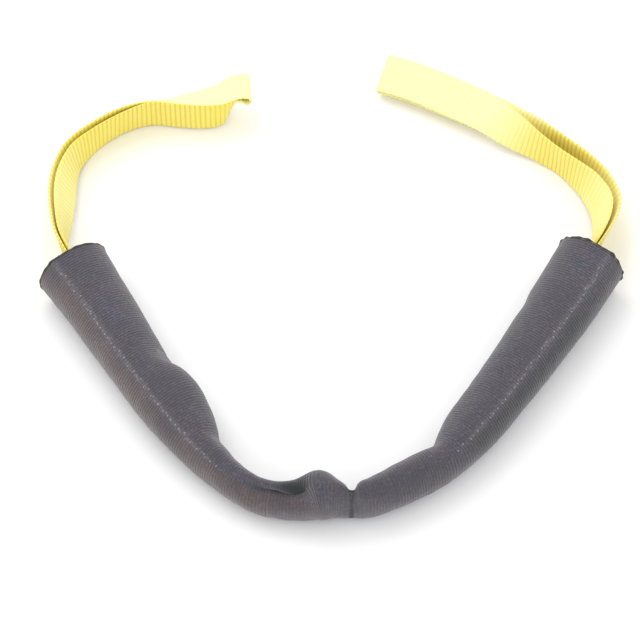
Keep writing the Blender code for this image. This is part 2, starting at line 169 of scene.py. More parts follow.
RIGHT_EYE = [
    (0.000, 0.000, 88, 88, 0.0003, 0.0060),
    (-0.080, 0.108, 74, 74, 0.0008, 0.0045),
    (-0.135, 0.215, 64, 64, 0.0025, 0.0030),
    (-0.147, 0.314, 62, 62, 0.0050, 0.0015),
    (-0.084, 0.422, 70, 70, 0.0070, 0.0005),
    (0.012, 0.507, 82, 82, 0.0080, 0.0000),
    (0.116, 0.583, 88, 88, 0.0080, 0.0000),
    (0.220, 0.660, 80, 78, 0.0080, 0.0000),
    (0.327, 0.750, 58, 54, 0.0085, 0.0000),
    (0.473, 0.869, 36, 34, 0.0085, 0.0000),
    (0.715, 0.986, 29, 28, 0.0080, 0.0000),
    (0.877, 1.054, 27, 26, 0.0074, 0.0000),
    (1.005, 1.096, 26, 26, 0.0068, 0.0000),
]
CREASE_CLOSING = 0.0024            # how much nearer the layers' edges come where they splay apart
SPLAY = math.radians(28)           # difference of lean from which they are that much nearer
MOUTH_ENTRY = 0.006                # where the strap passes from the sleeve's route to the eye's

# ---- Strap and floats inside the sleeve ----
STRAP_GAP = 0.0003                 # between the two layers of the strap
TAIL_LENGTH = 0.090                # of the folded-back end
KINK_GAP = 0.001                   # from a kink to the end of the strap on either side of it
FLOAT_INSET = 0.012
FLOAT_LENGTH = 0.105
FLOAT_GAP = 0.0016                 # from a float to the sleeve
FLOAT_HOLE = 0.30                  # share of the float's section at which its bore lies
FLOAT_END = [(0.0, FLOAT_HOLE), (0.0, 0.86), (0.0015, 0.97), (0.004, 1.0)]
# Where the middle strap is crushed: station, reach, share of its width lost.
CRUSHES = [(6.2, 0.022, 0.46), (FOLD, 0.014, 0.24)]
CRUSH_SINK = 0.0030                # how far it would sink if all of it were lost

# ---- Where fabric turns from one body to the next ----
KINK_REACH = 0.016
FOLD_REACH = 0.013
MOUTH_REACH = 0.010

# ---- Stitches ----
CREASE_STITCH = (0.0013, 0.00026)  # length and radius
TACK_STITCH = (0.0036, 0.00030)
BOX_STITCH_LENGTH = 0.0030
BOX_PITCH = 0.0034
BOX_START, BOX_END = 0.030, 0.064  # along the route from a mouth
BOX_INSET = 0.0030                 # from the strap's edges
TACK_COUNT = 22
TACK_SPREAD = math.radians(70)

# ---- Fineness of the meshes ----
ROW_STEP = 0.0011                  # along the sleeve
COLUMNS = 84                       # round the sleeve
CLOTH_ROW_STEP = 0.0026
CLOTH_COLUMNS = 52
RIBS_SAMPLED = 5                   # rows on each rib of the webbing
WEB_COLUMNS = 13                   # across a face of the webbing
SCALLOP = 0.00016                  # how far a rib stands out at the webbing's edges
BIGHT_SAMPLES = 15
EYE_STEP = 0.0030
STRAP_STEP = 0.0040
RIM_PROFILE = 10
CLOTH_FRAMES = 14
CLOTH_CAP = 0.0016                 # furthest that the cloth may settle from its first shape
FLOOR_CLEARANCE = 0.0002


# ---- Sizes and colours that a user would change ----
def number_property(name, description, default, **kind):
    return FloatProperty(name=name, description=description, default=default, **kind)


def length_property(name, description, default):
    return number_property(name, description, default, unit="LENGTH")


def colour_property(name, description, default):
    return FloatVectorProperty(name=name, description=description, default=default, subtype="COLOR")


class HandleSizes(bpy.types.PropertyGroup):
    webbing_width: length_property("Webbing width", "Width of the strap", 0.025)
    webbing_thickness: length_property("Webbing thickness", "Thickness of one layer", 0.0020)
    webbing_rib: length_property("Webbing rib", "Distance from rib to rib", 0.0032)
    webbing_relief: length_property("Webbing relief", "Height of a rib", 0.00022)
    sleeve_wall: length_property("Sleeve wall", "Thickness of the fabric", 0.0014)
    sleeve_rib: length_property("Sleeve rib", "Distance from rib to rib", 0.0018)
    rim_radius: length_property("Fused rim", "Radius of the melted bead", 0.0010)
    thread: length_property("Thread", "Diameter of the sewing thread", 0.0007)


class HandleFinish(bpy.types.PropertyGroup):
    webbing: colour_property("Webbing", "Yarn of the strap", (0.93, 0.80, 0.16))
    # Painted shade: the amber laid down in the grooves between the ribs.
    webbing_shade: colour_property("Webbing grooves", "Between the ribs", (0.62, 0.45, 0.02))
    sleeve: colour_property("Sleeve", "Purplish grey yarn", (0.055, 0.044, 0.060))
    # Painted light: the warm tint goes on the sleeve's outer flank; the cool patches lie where that
    # painted light is weak.
    sleeve_flank_light: colour_property("Sleeve, warm", "Brownish patches", (0.092, 0.058, 0.050))
    sleeve_cool: colour_property("Sleeve, cool", "Bluish patches", (0.030, 0.044, 0.066))
    rim: colour_property("Fused rim", "Melted edge", (0.022, 0.018, 0.019))
    thread: colour_property("Thread", "Sewing thread", (0.42, 0.39, 0.42))
    foam: colour_property("Foam", "Floats inside", (0.20, 0.20, 0.22))


class StudioSettings(bpy.types.PropertyGroup):
    elevation: number_property("Elevation", "Camera above level", math.radians(55), subtype="ANGLE")
    distance: length_property("Distance", "Camera to the point it aims at", 2.2)
    focal_length: number_property("Focal length", "Of the camera's lens", 199.6, unit="CAMERA")
    aim: FloatVectorProperty(
        name="Aim",
        description="Point the camera looks at",
        default=(-0.0078, -0.0234, 0.0),
        unit="LENGTH",
    )
    key_power: number_property("Key light", "Watts of the large soft light", 14.0, unit="POWER")
    fill_power: number_property("Fill light", "Watts of the front light", 4.0, unit="POWER")
    surround: number_property("Surround", "Strength of the white surround", 1.12)


# ---- Curves ----
class Smooth:
    """A smooth curve through rows of numbers, read by length along its first two."""

    def __init__(self, rows, fine=24):
        padded = [mirrored(rows[1], rows[0])] + rows + [mirrored(rows[-2], rows[-1])]
        table = []
        for i in range(1, len(padded) - 2):
            for j in range(fine):
                table.append(spline_point(padded[i - 1 : i + 3], j / fine))
        table.append(list(rows[-1]))
        self.table = np.array(table, float)
        stretch = np.hypot(*np.diff(self.table[:, :2], axis=0).T)
        self.lengths = np.concatenate([[0.0], np.cumsum(stretch)])
        self.fine = fine

    @property
    def length(self):
        return float(self.lengths[-1])

    def station(self, index):
        """Length along the curve at a row it was made from, or part of the way to the next."""
        return float(np.interp(index * self.fine, np.arange(len(self.lengths)), self.lengths))

    def at(self, s):
        """The rows at one length or at an array of lengths."""
        columns = [np.interp(s, self.lengths, column) for column in self.table.T]
        return np.stack(columns, axis=-1)

    def forward(self, s, reach=0.002):
        """Unit vectors along the curve, as arrays of x and y."""
        ahead = self.at(np.minimum(np.add(s, reach), self.length))[..., :2]
        behind = self.at(np.maximum(np.subtract(s, reach), 0.0))[..., :2]
        step = ahead - behind
        return step / np.linalg.norm(step, axis=-1, keepdims=True)


def mirrored(row, centre):
    return [2 * c - r for r, c in zip(row, centre)]


def spline_point(four, t):
    """Catmull-Rom between the middle two of four rows."""
    point = []
    for a, b, c, d in zip(*four):
        rise = 2 * b + (c - a) * t + (2 * a - 5 * b + 4 * c - d) * t**2
        point.append(0.5 * (rise + (3 * b - a - 3 * c + d) * t**3))
    return point


def sleeve_route(width):
    rows = []
    for x, y, half_width, above, fullness in ROUTE:
        spot = [MIDDLE_X + x * SPAN / 2, LOWEST_Y + y * DEPTH]
        rows.append(spot + [half_width, width / 2 + above, fullness])
    return Smooth(rows)


def wrapped(angle):
    """An angle brought between -pi and pi."""
    return (angle + np.pi) % (2 * np.pi) - np.pi


def offsets(route, s, turn, station, around, reach, spread):
    """How far points lie from a spot on the skin, as shares of its reach and of its spread."""
    off = (s - route.station(station)) / reach
    return off, wrapped(turn - math.radians(around)) / math.radians(spread)


def crease_share(turn, reach):
    """1 on the crease, falling to 0 away from it."""
    return np.exp(-((wrapped(turn - CREASE_TURN) / reach) ** 2) / 2)


# ---- The sleeve's skin ----
class Skin:
    """The sleeve's outer surface as a grid: rows along the route, columns round the section."""

    def __init__(self, route, row_step, columns):
        self.route = route
        count = max(2, round(route.length / row_step))
        self.along = np.linspace(0.0, route.length, count + 1)
        self.turn = np.arange(columns) * 2 * np.pi / columns - np.pi / 2
        self.points = self.shaped()

    def shaped(self):
        s = self.along[:, None]
        turn = self.turn[None, :]
        rows = self.route.at(self.along)
        half_width, half_height, fullness = (rows[:, i, None] for i in (2, 3, 4))
        forward = self.route.forward(self.along)
        side = np.stack([forward[:, 1], -forward[:, 0]], axis=-1)

        cosine, sine = np.cos(turn), np.sin(turn)
        level = half_width * np.sign(cosine) * np.abs(cosine) ** (2 / fullness)
        rise = half_height * np.sign(sine) * np.abs(sine) ** (2 / fullness)
        out = np.hypot(cosine / half_width, sine / half_height)
        out_level, out_rise = cosine / half_width / out, sine / half_height / out

        inward, pushed = self.folds(s, turn)
        inward = inward - self.crease(s, turn) + self.wobble(s, turn)
        level = level - inward * out_level
        rise = rise - inward * out_rise
        height = rise + half_height
        height = np.maximum(height, FLOOR_CLEARANCE + 0.02 * height)
        spots = rows[:, None, :2] + side[:, None, :] * level[..., None]
        spots = spots + forward[:, None, :] * pushed[..., None]
        return np.concatenate([spots, height[..., None]], axis=-1)

    def folds(self, s, turn):
        inward = np.zeros(np.broadcast(s, turn).shape)
        pushed = np.zeros_like(inward)
        for station, around, reach, spread, depth, push in FOLDS:
            off, swing = offsets(self.route, s, turn, station, around, reach, spread)
            share = np.exp(-(off**2 + swing**2) / 2)
            inward += depth * share
            pushed += push * share
        return inward, pushed

    def crease(self, s, turn):
        """The low ridge along each arm."""
        past_left = (s - self.route.station(ARM_END)) / CREASE_FADE
        before_right = (self.route.station(RIGHT_KINK) - s) / CREASE_FADE
        arms = 1 / (1 + np.exp(past_left)) + 1 / (1 + np.exp(before_right))
        return CREASE_RISE * crease_share(turn, CREASE_REACH) * arms

    def wobble(self, s, turn):
        """Slight unevenness of hand-filled cloth, stronger where the sleeve is slack."""
        slack = 1 - 0.6 * np.abs(s / self.route.length - 0.5) * 2
        broad = np.sin(s * 95 + 1.7 * np.sin(turn)) * np.sin(2 * turn + s * 31 + 0.6)
        small = np.sin(s * 410 + 2.3 * np.sin(turn + s * 60)) * np.sin(3 * turn - s * 52)
        return 0.00040 * slack * broad + 0.00014 * slack * small

    def moved(self, coarse, shift):
        """Moves this grid by the shifts of a coarser one, read between its rows and columns."""
        columns = len(coarse.turn)
        closed = np.concatenate([shift, shift[:, :1]], axis=1)
        place = np.linspace(0, columns, len(self.turn), endpoint=False)
        low = np.floor(place).astype(int)
        part = (place - low)[None, :, None]
        around = closed[:, low] * (1 - part) + closed[:, low + 1] * part
        for axis in range(3):
            for j in range(len(self.turn)):
                self.points[:, j, axis] += np.interp(self.along, coarse.along, around[:, j, axis])

    def spot(self, s, turn):
        """A point on the skin with its outward, forward and round-the-section directions."""
        row = int(np.clip(np.searchsorted(self.along, s), 1, len(self.along) - 2))
        columns = len(self.turn)
        column = int(round((turn + np.pi / 2) / (2 * np.pi) * columns)) % columns
        here = Vector(self.points[row, column])
        ahead = Vector(self.points[row + 1, column] - self.points[row - 1, column]).normalized()
        after, before = (column + 1) % columns, (column - 1) % columns
        round_way = Vector(self.points[row, after] - self.points[row, before]).normalized()
        out = ahead.cross(round_way).normalized()
        if out.dot(here - self.middle(row)) < 0:
            out = -out
        return here, out, ahead, round_way

    def middle(self, row):
        return Vector(self.points[row].mean(axis=0))


SKINS = {}


def sleeve_skin(context):
    """The sleeve's skin, made once and shared by the pieces that lie on it or in it."""
    if "fine" not in SKINS:
        sizes = context.scene.handle_sizes
        route = sleeve_route(sizes.webbing_width)
        fine = Skin(route, ROW_STEP, COLUMNS)
        coarse = Skin(route, CLOTH_ROW_STEP, CLOTH_COLUMNS)
        fine.moved(coarse, relaxed(context, coarse))
        SKINS["fine"] = fine
    return SKINS["fine"]


def relaxed(context, skin):
    """Lets the sleeve settle as cloth over its filling, and returns how far each point moved."""
    piece = grid_piece("settling_sleeve", skin.points, close_round=True)
    hold = piece.vertex_groups.new(name="hold")
    ends = np.zeros(skin.points.shape[:2])
    ends[:2] = ends[-2:] = 1.0
    filled = np.clip(np.abs(skin.along / skin.route.length - 0.5) * 2, 0, 1)
    weights = np.maximum(ends, 0.30 + 0.25 * filled[:, None])
    for index, weight in enumerate(weights.ravel()):
        hold.add([index], float(weight), "REPLACE")
    cloth = piece.modifiers.new("Cloth", "CLOTH").settings
    cloth.quality = 4
    cloth.mass = 0.15
    cloth.tension_stiffness = 12
    cloth.compression_stiffness = 6
    cloth.shear_stiffness = 4
    cloth.bending_stiffness = 0.4
    cloth.use_pressure = True
    cloth.uniform_pressure_force = 0.8
    cloth.vertex_group_mass = "hold"
    cloth.pin_stiffness = 3
    cloth.effector_weights.gravity = 0.15
    scene = context.scene
    for number in range(1, CLOTH_FRAMES + 1):
        scene.frame_set(number)
    settled = piece.evaluated_get(context.evaluated_depsgraph_get()).to_mesh()
    after = np.zeros(len(settled.vertices) * 3, np.float32)
    settled.vertices.foreach_get("co", after)
    shift = after.reshape(skin.points.shape) - skin.points
    scene.frame_set(1)
    discard(piece)
    far = np.linalg.norm(shift, axis=-1, keepdims=True)
    shift = shift * np.minimum(1.0, CLOTH_CAP / np.maximum(far, 1e-9))
    shift[..., 2] = np.maximum(shift[..., 2], FLOOR_CLEARANCE - skin.points[..., 2])
    return shift


# ---- Meshes ----
def placed(name, data):
    """A new object in the scene."""
    piece = bpy.data.objects.new(name, data)
    bpy.context.scene.collection.objects.link(piece)
    return piece


def discard(piece):
    mesh = piece.data
    bpy.data.objects.remove(piece)
    bpy.data.meshes.remove(mesh)


def mesh_piece(name, work):
    """An object from a bmesh, its faces turned out."""
    bmesh.ops.recalc_face_normals(work, faces=work.faces)
    mesh = bpy.data.meshes.new(name)
    work.to_mesh(mesh)
    work.free()
    return placed(name, mesh)


def grid_piece(name, points, close_round=False, close_ends=False, uv=None):
    """An object from a grid of points; uv gives each row's and each column's place in metres."""
    rows, columns = points.shape[:2]
    work = bmesh.new()
    verts = [work.verts.new(p) for p in points.reshape(-1, 3)]
    layer = work.loops.layers.uv.new("flow")
    last = columns if close_round else columns - 1
    for i in range(rows - 1):
        here, ahead = i * columns, (i + 1) * columns
        for j in range(last):
            k = (j + 1) % columns
            face = work.faces.new([verts[n] for n in (here + j, here + k, ahead + k, ahead + j)])
            face.smooth = True
            if uv is not None:
                corners = ((i, j), (i, j + 1), (i + 1, j + 1), (i + 1, j))
                for loop, (row, column) in zip(face.loops, corners):
                    loop[layer].uv = (uv[1][column], uv[0][row])
    if close_ends:
        work.faces.new(verts[:columns])
        work.faces.new(verts[-columns:])
    return mesh_piece(name, work)


def facing_out(piece, middles):
    """Turns an open tube's faces out when they face its own middle line."""
    mesh = piece.data
    face = mesh.polygons[len(mesh.polygons) // 2]
    nearest = min(middles, key=lambda m: (m - face.center).length)
    if face.normal.dot(face.center - nearest) < 0:
        mesh.flip_normals()


def apply_modifier(piece, kind, **settings):
    """Adds a modifier with these settings and applies it."""
    modifier = piece.modifiers.new(kind.title(), kind)
    for name, value in settings.items():
        setattr(modifier, name, value)
    bpy.ops.object.select_all(action="DESELECT")
    piece.select_set(True)
    bpy.context.view_layer.objects.active = piece
    bpy.ops.object.modifier_apply(modifier=modifier.name)


def finished(piece, finish):
    """Gives a piece its finish."""
    piece.data.materials.clear()
    piece.data.materials.append(finish)
    return piece


# ---- Shader nodes ----
class Wire:
    """A node's output, which arithmetic can be done on."""

    def __init__(self, finish, socket):
        self.finish = finish
        self.socket = socket

    def maths(self, operation, first, second):
        return self.finish.node("ShaderNodeMath", {"operation": operation}, [first, second])

    def __add__(self, other):
        return self.maths("ADD", self, other)

    __radd__ = __add__

    def __sub__(self, other):
        return self.maths("SUBTRACT", self, other)

    def __rsub__(self, other):
        return self.maths("SUBTRACT", other, self)

    def __mul__(self, other):
        return self.maths("MULTIPLY", self, other)

    __rmul__ = __mul__


class Finish:
    """A material's node tree, built by Python expressions."""

    def __init__(self, name):
        self.material = bpy.data.materials.new(name)
        self.material.use_nodes = True
        self.tree = self.material.node_tree
        self.shader = self.tree.nodes["Principled BSDF"]

    def node(self, kind, settings=None, inputs=None, output=0):
        """Adds any node: its settings first, then values or wires for its inputs."""
        made = self.tree.nodes.new(kind)
        for name, value in (settings or {}).items():
            if name == "stops":
                self.set_stops(made.color_ramp, value)
            else:
                setattr(made, name, value)
        pairs = inputs.items() if isinstance(inputs, dict) else enumerate(inputs or [])
        for key, value in pairs:
            self.feed(made.inputs[key], value)
        return Wire(self, made.outputs[output])

    def set_stops(self, ramp, stops):
        while len(ramp.elements) < len(stops):
            ramp.elements.new(1.0)
        for element, (place, shade) in zip(ramp.elements, stops):
            element.position = place
            element.color = (shade, shade, shade, 1.0)

    def feed(self, socket, value):
        if isinstance(value, Wire):
            self.tree.links.new(value.socket, socket)
        elif socket.type == "RGBA" and len(value) == 3:
            socket.default_value = (*value, 1.0)
        else:
            socket.default_value = value

    def flow(self):
        """Metres round and metres along a piece, from its own map."""
        place = self.node("ShaderNodeUVMap", {"uv_map": "flow"})
        split = self.tree.nodes.new("ShaderNodeSeparateXYZ")
        self.feed(split.inputs[0], place)
        return Wire(self, split.outputs[0]), Wire(self, split.outputs[1])

    def place(self):
        return self.node("ShaderNodeTexCoord", output="Object")

    def noise(self, scale, detail=3.0, roughness=0.55, vector=None):
        inputs = {"Scale": scale, "Detail": detail, "Roughness": roughness}
        inputs["Vector"] = vector or self.place()
        return self.node("ShaderNodeTexNoise", {}, inputs)

    def wave(self, value, pitch):
        """0 to 1 and back once in each pitch."""
        turned = value * (2 * math.pi / pitch)
        return self.node("ShaderNodeMath", {"operation": "SINE"}, [turned]) * 0.5 + 0.5

    def mark(self, name):
        """A number stored on the mesh's points."""
        return self.node("ShaderNodeAttribute", {"attribute_name": name}, output=2)

    def uniform(self, **sockets):
        """Sets what is the same all over on the shader itself."""
        for name, value in sockets.items():
            self.shader.inputs[name.replace("_", " ")].default_value = value

    def ramp(self, value, stops):
        return self.node("ShaderNodeValToRGB", {"stops": stops}, {"Fac": value})

    def mix(self, factor, first, second):
        inputs = {0: factor, 6: first, 7: second}
        return self.node("ShaderNodeMix", {"data_type": "RGBA"}, inputs, output=2)

    def patches(self, base, shade, noise, stops):
        """The base with a shade over it where the noise is high."""
        return self.mix(self.ramp(noise, stops), base, shade)

    def bump(self, height, strength, distance, normal=None):
        inputs = {"Height": height, "Strength": strength, "Distance": distance}
        if normal:
            inputs["Normal"] = normal
        return self.node("ShaderNodeBump", {}, inputs)

    def finish(self, **sockets):
        for name, value in sockets.items():
            self.feed(self.shader.inputs[name.replace("_", " ")], value)
        return self.material


# Tones that the finishes mix in
SOILED_YARN = (0.95, 0.88, 0.34)
YARN_FLECK = (0.96, 0.91, 0.48)
# Painted shade: the deep amber for webbing faces that stand on edge.
SIDE_SHADE_YARN = (0.87, 0.73, 0.035)
# Painted light: the pale tone for webbing faces that turn up, as if lit from above.
TOP_LIGHT_YARN = (0.94, 0.93, 0.50)
# Painted shade down in the sleeve's rib grooves.
SLEEVE_GROOVE_SHADE = (0.022, 0.020, 0.025)
SLEEVE_SPECKLE = (0.165, 0.145, 0.175)
SLEEVE_MURK = (0.040, 0.038, 0.046)
SLEEVE_STITCH = (0.20, 0.19, 0.22)
SLEEVE_FUZZ = (0.15, 0.135, 0.16)
# Painted highlight along each arm's crease ridge.
CREASE_HIGHLIGHT = (0.36, 0.33, 0.35)
# Painted shade: the near-black laid where little light gets in.
HOLLOW_SHADE = (0.012, 0.017, 0.018)
RIM_LUMP = (0.085, 0.075, 0.082)
RIM_FRAY = (0.22, 0.20, 0.22)
FOAM_CELL = (0.10, 0.10, 0.11)
FOAM_TINT = (0.28, 0.28, 0.30)
DARK_THREAD = (0.06, 0.055, 0.065)
YELLOW_THREAD = (0.70, 0.60, 0.22)
PAPER = (0.94, 0.94, 0.945)
PAPER_FIBRE = (0.90, 0.90, 0.91)


def webbing_finish(colours, sizes):
    """Heavy flat yarn with ribs across, with painted shade down in the grooves and on faces that
    stand on edge, and painted light on faces that turn up.
    """
    made = Finish("ribbed_webbing")
    across, along = made.flow()
    rib = made.wave(along, sizes.webbing_rib)
    yarn = made.wave(across + rib * 0.0002, 0.00085)
    twill = made.wave(across + along * 0.55, 0.0011)
    flecks = made.noise(900, 2)
    groove = made.ramp(rib, [(0.0, 1.0), (0.42, 0.12), (1.0, 0.0)])
    # Painted light: how far each face turns up; it also weakens the painted shade on those faces.
    faded = made.mark("faded")
    # Painted shade in the grooves between the ribs, fainter on faces that turn up.
    base = made.mix(groove * (0.95 - faded * 0.55), colours.webbing, colours.webbing_shade)
    base = made.patches(base, SOILED_YARN, made.noise(38, 4), [(0.35, 0.0), (0.75, 0.22)])
    base = made.mix(flecks * 0.16, base, YARN_FLECK)
    # Painted shade: faces that do not turn up go deep amber, in noisy patches.
    deep = made.ramp(made.noise(19, 3), [(0.35, 0.10), (0.70, 0.55)]) * (1 - faded)
    base = made.mix(deep, base, SIDE_SHADE_YARN)
    # Painted light: faces that turn up are painted pale, as if lit from above.
    base = made.patches(base, TOP_LIGHT_YARN, faded, [(0.10, 0.0), (0.75, 0.78)])
    weave = made.bump(yarn * 0.5 + twill * 0.5, 0.45, 0.00012)
    relief = made.bump(rib, 0.55, 0.00030, weave)
    grain = made.bump(flecks, 0.25, 0.00010, relief)
    made.uniform(Sheen_Weight=0.25, Sheen_Roughness=0.45, Specular_IOR_Level=0.35)
    roughness = 0.56 + groove * 0.2 + flecks * 0.08
    return made.finish(Base_Color=base, Roughness=roughness, Normal=grain)


def sleeve_finish(colours, sizes):
    """Fine cross-ribbed cloth: painted warm light on the outer flank, cool patches on top, painted
    shade in grooves and hollows, a painted highlight on the crease.
    """
    made = Finish("ribbed_sleeve")
    around, along = made.flow()
    rib = made.wave(along, sizes.sleeve_rib)
    stitch = made.wave(around + rib * 0.0003, 0.00120)
    broad = made.noise(26, 4)
    fuzz = made.noise(1400, 2)
    flank = made.mark("warmth")
    singed = made.mark("singed")
    # Painted light: a warm tint on the outer flank, broken up by noise; the cool patches keep to
    # where it is weak.
    warm = flank * 0.72 + broad * 0.5 - 0.1
    base = made.patches(colours.sleeve, colours.sleeve_flank_light, warm, [(0.25, 0.0), (0.8, 1.0)])
    blotches = made.ramp(made.noise(75, 4, 0.65), [(0.42, 0.0), (0.72, 0.75)])
    base = made.mix(blotches * (1 - flank), base, colours.sleeve_cool)
    worn = made.ramp(made.noise(240, 4, 0.75), [(0.34, 1.0), (0.64, 0.10)])
    # Painted shade down in the rib grooves, where the noise leaves the ribs full.
    base = made.mix(made.ramp(rib, [(0.0, 0.75), (0.6, 0.0)]) * worn, base, SLEEVE_GROOVE_SHADE)
    base = made.patches(base, SLEEVE_SPECKLE, made.noise(700, 3, 0.75), [(0.50, 0.0), (0.68, 0.62)])
    base = made.patches(base, SLEEVE_MURK, made.noise(34, 4, 0.6), [(0.40, 0.0), (0.64, 0.62)])
    base = made.mix(stitch * 0.10, base, SLEEVE_STITCH)
    # Painted highlight along the crease ridge, broken into flecks.
    crease_flecks = made.ramp(made.noise(520, 3, 0.7), [(0.52, 0.0), (0.70, 1.0)])
    base = made.mix(made.mark("crease") * (0.10 + crease_flecks * 0.50), base, CREASE_HIGHLIGHT)
    base = made.mix(fuzz * 0.12, base, SLEEVE_FUZZ)
    # Painted shade in the pocket, at the pinch and on the right arm's outer flank.
    base = made.mix(made.mark("hollow"), base, HOLLOW_SHADE)
    base = made.mix(singed, base, colours.rim)
    relief = made.bump(rib * worn, 0.75, 0.00045)
    loops = made.bump(stitch * rib, 0.35, 0.00018, relief)
    nap = made.bump(fuzz, 0.30, 0.00012, loops)
    made.uniform(Sheen_Weight=0.35, Sheen_Roughness=0.55, Specular_IOR_Level=0.25)
    roughness = 0.78 + broad * 0.14 - singed * 0.25
    return made.finish(Base_Color=base, Roughness=roughness, Normal=nap)


def rim_finish(colours):
    """Cloth melted to a hard dark bead, with paler frayed spots."""
    made = Finish("fused_rim")
    lumps = made.noise(420, 4, 0.6)
    frays = made.noise(1300, 2)
    base = made.patches(colours.rim, RIM_LUMP, lumps, [(0.50, 0.0), (0.78, 0.55)])
    base = made.patches(base, RIM_FRAY, frays, [(0.62, 0.0), (0.80, 0.5)])
    relief = made.bump(lumps + frays * 0.4, 0.7, 0.0005)
    return made.finish(Base_Color=base, Roughness=0.38 + lumps * 0.4, Normal=relief)


def thread_finish(name, colour):
    """Twisted bonded thread."""
    made = Finish(name)
    place = made.place()
    waves = {"Vector": place, "Scale": 900.0}
    strands = made.node("ShaderNodeTexWave", {"bands_direction": "DIAGONAL"}, waves)
    mottle = made.noise(700, 2, vector=place)
    deep = tuple(channel * 0.55 for channel in colour)
    strand_share = made.node("ShaderNodeSeparateColor", {}, {0: strands}) * 0.35
    base = made.mix(strand_share + mottle * 0.3, colour, deep)
    relief = made.bump(strand_share, 0.5, 0.0002)
    return made.finish(Base_Color=base, Roughness=0.5 + mottle * 0.2, Normal=relief)


def foam_finish(colours):
    """Closed-cell foam with its skin cut away."""
    made = Finish("closed_cell_foam")
    cells = made.node("ShaderNodeTexVoronoi", {}, {"Vector": made.place(), "Scale": 900.0})
    mottle = made.noise(60, 3)
    skinned = made.ramp(cells, [(0.0, 0.0), (0.6, 1.0)]) * 0.5
    base = made.mix(skinned, colours.foam, FOAM_CELL)
    base = made.mix(mottle * 0.3, base, FOAM_TINT)
    relief = made.bump(cells, 0.6, 0.0003)
    return made.finish(Base_Color=base, Roughness=0.82 + mottle * 0.1, Normal=relief)


def floor_finish():
    """Matt white paper, faintly mottled."""
    made = Finish("studio_paper")
    fibre = made.noise(300, 3)
    base = made.mix(fibre * 0.05, PAPER, PAPER_FIBRE)
    made.uniform(Specular_IOR_Level=0.1)
    return made.finish(Base_Color=base, Roughness=0.92 + fibre * 0.04)


FINISHES = {}


def finish_of(name, maker, *arguments):
    """A finish, made the first time it is asked for."""
    if name not in FINISHES:
        FINISHES[name] = maker(*arguments)
    return FINISHES[name]


# ---- Sleeve ----
def add_cloth_marks(piece, skin, row_start, row_end):
    """Stores where the finish paints warm light, a crease highlight and shade, and where the cloth
    is singed.
    """
    s = skin.along[row_start : row_end + 1, None]
    turn = skin.turn[None, :]
    route = skin.route
    # Painted light: the outer flank, most of all on the left arm, where the finish paints a warm
    # tint.
    outer = np.clip((CREASE_TURN + 0.15 - np.abs(wrapped(turn))) / 0.5, 0, 1) * np.ones_like(s)
    left_share = np.clip((route.station(7.5) - s) / 0.05, 0, 1)
    warmth = outer * (0.25 + 0.75 * left_share)
    arms = np.clip((route.station(ARM_END + 0.6) - s) / 0.02, 0, 1)
    arms = arms + np.clip((s - route.station(RIGHT_KINK)) / 0.02, 0, 1)
    ends = np.minimum(s, route.length - s)
    singed = np.exp(-ends / 0.0011) * np.ones_like(turn)
    # Painted shade: where the cloth is darkened because little light gets in.
    hollow = np.zeros_like(warmth)
    for station, around, reach, spread, depth in HOLLOWS:
        off, swing = offsets(route, s, turn, station, around, reach, spread)
        hollow = np.maximum(hollow, depth * np.exp(-(off**4 + swing**4)))
    # Where the finish paints a highlight along each arm's crease.
    crease = crease_share(turn, CREASE_LINE) * arms
    set_marks(piece, warmth=warmth, crease=crease, singed=singed, hollow=hollow)


def set_marks(piece, **marks):
    """Stores a number on each of the mesh's points, for Finish.mark to read."""
    for name, values in marks.items():
        attribute = piece.data.attributes.new(name, "FLOAT", "POINT")
        attribute.data.foreach_set("value", values.astype(np.float32).ravel())


def sleeve_stretch(context, name, row_start, row_end):
    """One stretch of the sleeve as cloth with a real thickness."""
    sizes = context.scene.handle_sizes
    skin = sleeve_skin(context)
    points = skin.points[row_start : row_end + 1]
    girth = np.linalg.norm(np.diff(points[len(points) // 2], axis=0), axis=-1)
    around = np.concatenate([[0.0], np.cumsum(girth), [girth.sum() + girth.mean()]])
    uv = (skin.along[row_start : row_end + 1], around)
    piece = grid_piece(name, points, close_round=True, uv=uv)
    facing_out(piece, [skin.middle(row) for row in range(row_start, row_end + 1)])
    add_cloth_marks(piece, skin, row_start, row_end)
    wall = {"thickness": sizes.sleeve_wall, "offset": -1.0, "use_even_offset": False}
    apply_modifier(piece, "SOLIDIFY", **wall)
    finish = finish_of("sleeve", sleeve_finish, context.scene.handle_finish, sizes)
    finished(piece, finish)
    return piece


def route_point(route, s):
    """A point on the sleeve's middle line."""
    x, y, _, half_height, _ = route.at(s)
    return Vector((x, y, half_height))


def level_ways(route, s):
    """Level unit vectors: along the route, and to its outer side."""
    forward = Vector((*route.forward(s), 0.0))
    return forward, Vector((forward.y, -forward.x, 0.0))


def hinge_zone(route, s, reach):
    """The points between which fabric turns from one body to the next."""
    return route_point(route, s - reach), route_point(route, s + reach)


